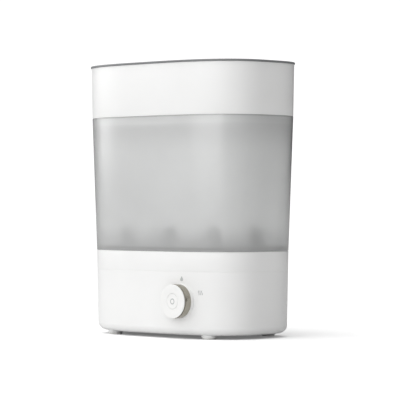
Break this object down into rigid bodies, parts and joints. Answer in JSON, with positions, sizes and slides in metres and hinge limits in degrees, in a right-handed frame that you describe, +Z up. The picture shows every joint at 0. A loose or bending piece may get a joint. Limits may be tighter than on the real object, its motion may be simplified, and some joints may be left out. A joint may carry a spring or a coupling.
{
  "type": "bottle sterilizer",
  "caption": "Electric steam bottle sterilizer and dryer with an oval stack of lid, small basket, frosted main basket and white base with a mode knob.",
  "frame": {"origin": "centre of the footprint, on the surface that the feet stand on", "axes": "+Z up, -Y towards the front with the knob, +X to the right seen from the front"},
  "size_m": [0.29, 0.1827, 0.3537],
  "materials": {
    "lid_grey": "satin moulded plastic",
    "white_plastic": "glossy moulded polypropylene",
    "frosted_plastic": "frosted, see-through polypropylene",
    "rack_grey": "satin moulded plastic",
    "cover_grey": "matte moulded plastic",
    "steel": "plated steel",
    "foot_rubber": "soft white elastomer",
    "plate_aluminium": "smooth coated aluminium",
    "silicone": "translucent silicone",
    "dark_plastic": "matte glass-filled plastic",
    "ceramic_white": "unglazed ceramic",
    "knob_metal": "satin warm-grey anodised metal",
    "knob_white": "satin white plastic",
    "board_green": "solder-masked board",
    "icon_grey": "light-transmitting inlay",
    "clear_plastic": "clear resin",
    "duct_plastic": "heat-resistant plastic",
    "filter_foam": "fine white-grey filter fleece",
    "gland_grey": "flexible plastic",
    "relay_blue": "matte plastic case",
    "terminal_green": "matte plastic case"
  },
  "bodies": {
    "base": {"base_collar": "white_plastic", "base_housing": "white_plastic", "bottom_cover": "cover_grey", "cover_screws": "steel", "foot_front_left": "foot_rubber", "foot_front_right": "foot_rubber", "foot_back_left": "foot_rubber", "foot_back_right": "foot_rubber", "heating_plate": "plate_aluminium", "plate_gasket": "silicone", "plate_clamp": "steel", "plate_screws": "steel", "heating_element": "steel", "thermostat": "dark_plastic", "thermal_fuse": "ceramic_white", "button_spring": "steel", "rotary_encoder": "dark_plastic", "start_switch": "dark_plastic", "control_board": "board_green", "board_screws": "steel", "icon_lenses": "icon_grey", "indicator_leds": "clear_plastic", "blower_housing": "duct_plastic", "blower_cover": "duct_plastic", "blower_screws": "steel", "blower_motor": "steel", "air_heater": "ceramic_white", "duct_seal": "silicone", "outlet_grille": "white_plastic", "cord_gland": "gland_grey", "power_board": "board_green", "power_relay": "relay_blue", "terminal_block": "terminal_green"},
    "large_basket": {"large_basket": "frosted_plastic", "bottle_rack": "rack_grey"},
    "small_basket": {"small_basket": "white_plastic"},
    "lid": {"lid": "lid_grey"},
    "knob": {"knob_ring": "knob_metal", "knob_face": "knob_white"},
    "start_button": {"start_button": "knob_white"},
    "impeller": {"impeller": "dark_plastic"},
    "filter_cover": {"filter_cover": "white_plastic", "air_filter": "filter_foam"}
  },
  "joints": [
    {"name": "large_basket_lift", "type": "slide", "parent": "base", "child": "large_basket", "axis": [0, 0, 1], "range_m": [0, 0.12]},
    {"name": "small_basket_lift", "type": "slide", "parent": "large_basket", "child": "small_basket", "axis": [0, 0, 1], "range_m": [0, 0.22]},
    {"name": "lid_lift", "type": "slide", "parent": "small_basket", "child": "lid", "axis": [0, 0, 1], "range_m": [0, 0.12]},
    {"name": "knob_turn", "type": "hinge", "parent": "base", "child": "knob", "pos_m": [0.058, -0.085, 0.0483], "axis": [0, -1, 0], "range_deg": [-70, 70]},
    {"name": "start_push", "type": "slide", "parent": "base", "child": "start_button", "axis": [0, 1, 0], "range_m": [0, 0.0015], "stiffness_N_per_m": 800, "springref_m": -0.0008, "deforming": ["button_spring"]},
    {"name": "impeller_spin", "type": "hinge", "parent": "base", "child": "impeller", "pos_m": [0.044, 0.042, 0.04], "axis": [0, 1, 0], "continuous": true},
    {"name": "filter_cover_slide", "type": "slide", "parent": "base", "child": "filter_cover", "axis": [0, 1, 0], "range_m": [0, 0.035]}
  ]
}
